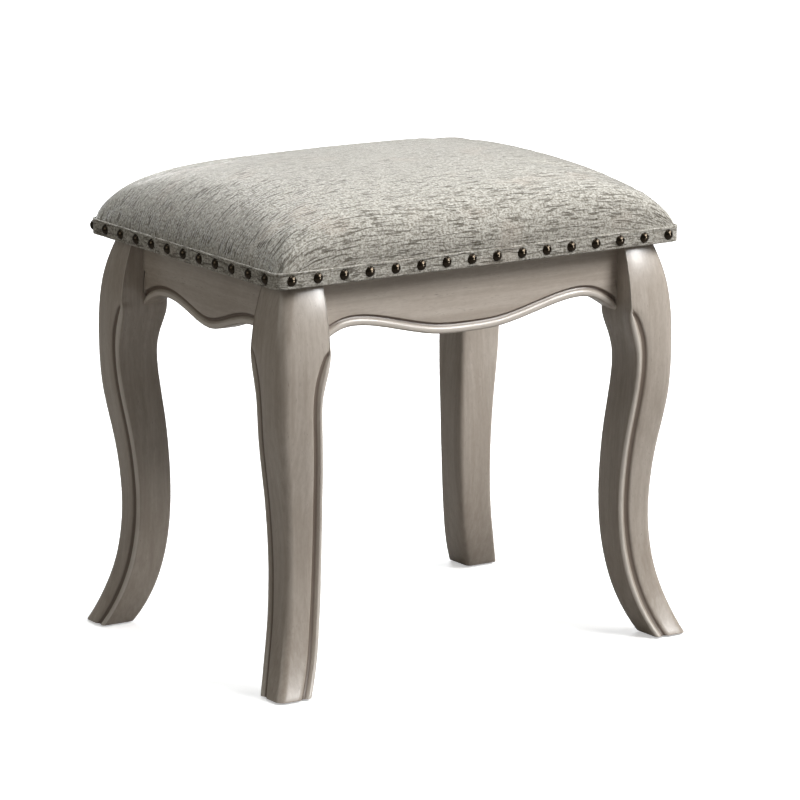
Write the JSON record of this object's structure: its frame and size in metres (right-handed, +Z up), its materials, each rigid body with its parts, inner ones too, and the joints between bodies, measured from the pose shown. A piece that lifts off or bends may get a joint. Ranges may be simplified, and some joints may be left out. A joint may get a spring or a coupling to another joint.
{
  "type": "upholstered vanity stool",
  "caption": "Backless vanity stool with a domed fabric seat, nailhead trim, scalloped aprons and beaded cabriole legs.",
  "frame": {"origin": "on the floor, under the middle of the stool", "axes": "+Z up, +X along the long side of the seat, the front long side faces -Y"},
  "size_m": [0.4866, 0.3826, 0.4849],
  "materials": {
    "washed_wood": "washed taupe-grey stain with brown glaze in the grooves, satin lacquer",
    "plain_wood": "bare hardwood, sanded",
    "plywood": "bare plywood",
    "chenille": "light grey-beige woven chenille with grey-brown slubs",
    "dust_cloth": "black non-woven dust cloth",
    "foam": "open-cell seat foam",
    "aged_bronze": "dark aged bronze, semi-gloss domes",
    "zinc_steel": "zinc-plated",
    "glide_plastic": "dark moulded plastic"
  },
  "bodies": {
    "root": {"apron_dowels": "plain_wood", "apron_front": "washed_wood", "apron_left": "washed_wood", "apron_rear": "washed_wood", "apron_right": "washed_wood", "block_screws": "zinc_steel", "corner_block_front_left": "plain_wood", "corner_block_front_right": "plain_wood", "corner_block_rear_left": "plain_wood", "corner_block_rear_right": "plain_wood", "dust_cover": "dust_cloth", "dust_cover_staples": "zinc_steel", "foot_glide_front_left": "glide_plastic", "foot_glide_front_right": "glide_plastic", "foot_glide_rear_left": "glide_plastic", "foot_glide_rear_right": "glide_plastic", "leg_bolt_nuts": "zinc_steel", "leg_bolt_washers": "zinc_steel", "leg_bolts": "zinc_steel", "leg_front_left": "washed_wood", "leg_front_right": "washed_wood", "leg_rear_left": "washed_wood", "leg_rear_right": "washed_wood", "nailheads_front": "aged_bronze", "nailheads_left": "aged_bronze", "nailheads_rear": "aged_bronze", "nailheads_right": "aged_bronze", "seat_band": "chenille", "seat_board": "plywood", "seat_cover": "chenille", "seat_foam": "foam", "seat_screws": "zinc_steel"}
  },
  "joints": []
}
